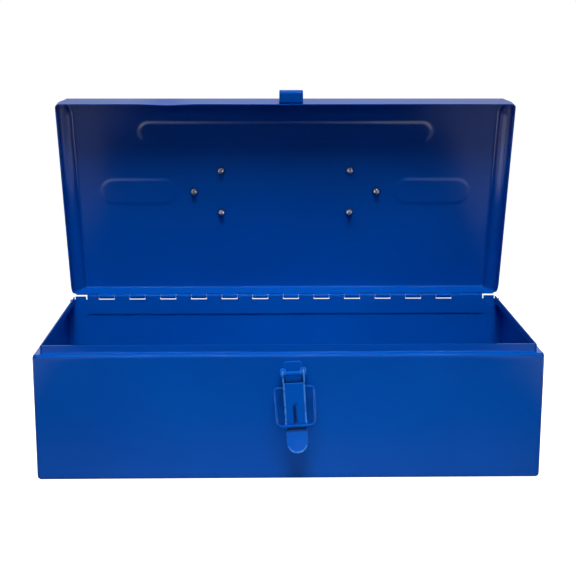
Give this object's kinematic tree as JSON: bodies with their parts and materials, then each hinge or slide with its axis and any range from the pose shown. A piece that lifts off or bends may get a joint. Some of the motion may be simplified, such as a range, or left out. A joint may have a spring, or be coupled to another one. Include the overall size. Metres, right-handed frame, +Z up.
{
  "type": "metal tool box",
  "caption": "Blue sheet-metal tool box with a piano-hinged lid standing open, a toggle latch on the front and a folding handle on the lid.",
  "frame": {"origin": "centre of the base, on the surface that the box stands on", "axes": "+Z up, +X to the right along the box's length, +Y to the back; the latch faces -Y"},
  "size_m": [0.36, 0.2012, 0.2679],
  "materials": {
    "blue_enamel": "glossy deep blue baked enamel, thin at the edges",
    "zinc_steel": "bright zinc-plated steel, lightly scuffed",
    "rivet_aluminium": "satin aluminium blind rivets",
    "mandrel_steel": "dull broken-off steel stems",
    "grip_plastic": "black moulded plastic with shallow rings"
  },
  "bodies": {
    "box": {"body_wrap": "blue_enamel", "left_end_panel": "blue_enamel", "right_end_panel": "blue_enamel", "hinge_body_leaf": "blue_enamel", "hinge_pin": "zinc_steel", "latch_base": "blue_enamel", "latch_pivot_pin": "blue_enamel", "latch_rivets": "rivet_aluminium", "latch_rivet_mandrels": "mandrel_steel"},
    "lid": {"lid_shell": "blue_enamel", "hinge_lid_leaf": "blue_enamel", "keeper": "blue_enamel", "handle_bracket_left": "zinc_steel", "handle_bracket_right": "zinc_steel", "handle_rivets_left": "rivet_aluminium", "handle_rivets_right": "rivet_aluminium", "rivet_mandrels_left": "mandrel_steel", "rivet_mandrels_right": "mandrel_steel"},
    "lever": {"latch_lever": "blue_enamel"},
    "bail": {"latch_bail": "blue_enamel"},
    "handle": {"handle_rod": "zinc_steel"},
    "grip": {"handle_grip": "grip_plastic"}
  },
  "joints": [
    {"name": "lid_hinge", "type": "hinge", "parent": "box", "child": "lid", "pos_m": [0, 0.0813, 0.0976], "axis": [-1, 0, 0], "range_deg": [-81.5, 18.5]},
    {"name": "lever_pivot", "type": "hinge", "parent": "box", "child": "lever", "pos_m": [0.0025, -0.0865, 0.08], "axis": [-0.9981, 0, -0.061], "range_deg": [0, 150]},
    {"name": "bail_pivot", "type": "hinge", "parent": "lever", "child": "bail", "pos_m": [0.00312, -0.0865, 0.06982], "axis": [0.9981, 0, 0.061], "range_deg": [-170.6, 0]},
    {"name": "handle_pivot", "type": "hinge", "parent": "lid", "child": "handle", "pos_m": [0, 0.08989, 0.18493], "axis": [1, 0, 0], "range_deg": [0, 169.4]},
    {"name": "grip_turn", "type": "hinge", "parent": "handle", "child": "grip", "pos_m": [0, 0.09894, 0.14802], "axis": [1, 0, 0], "continuous": true}
  ]
}
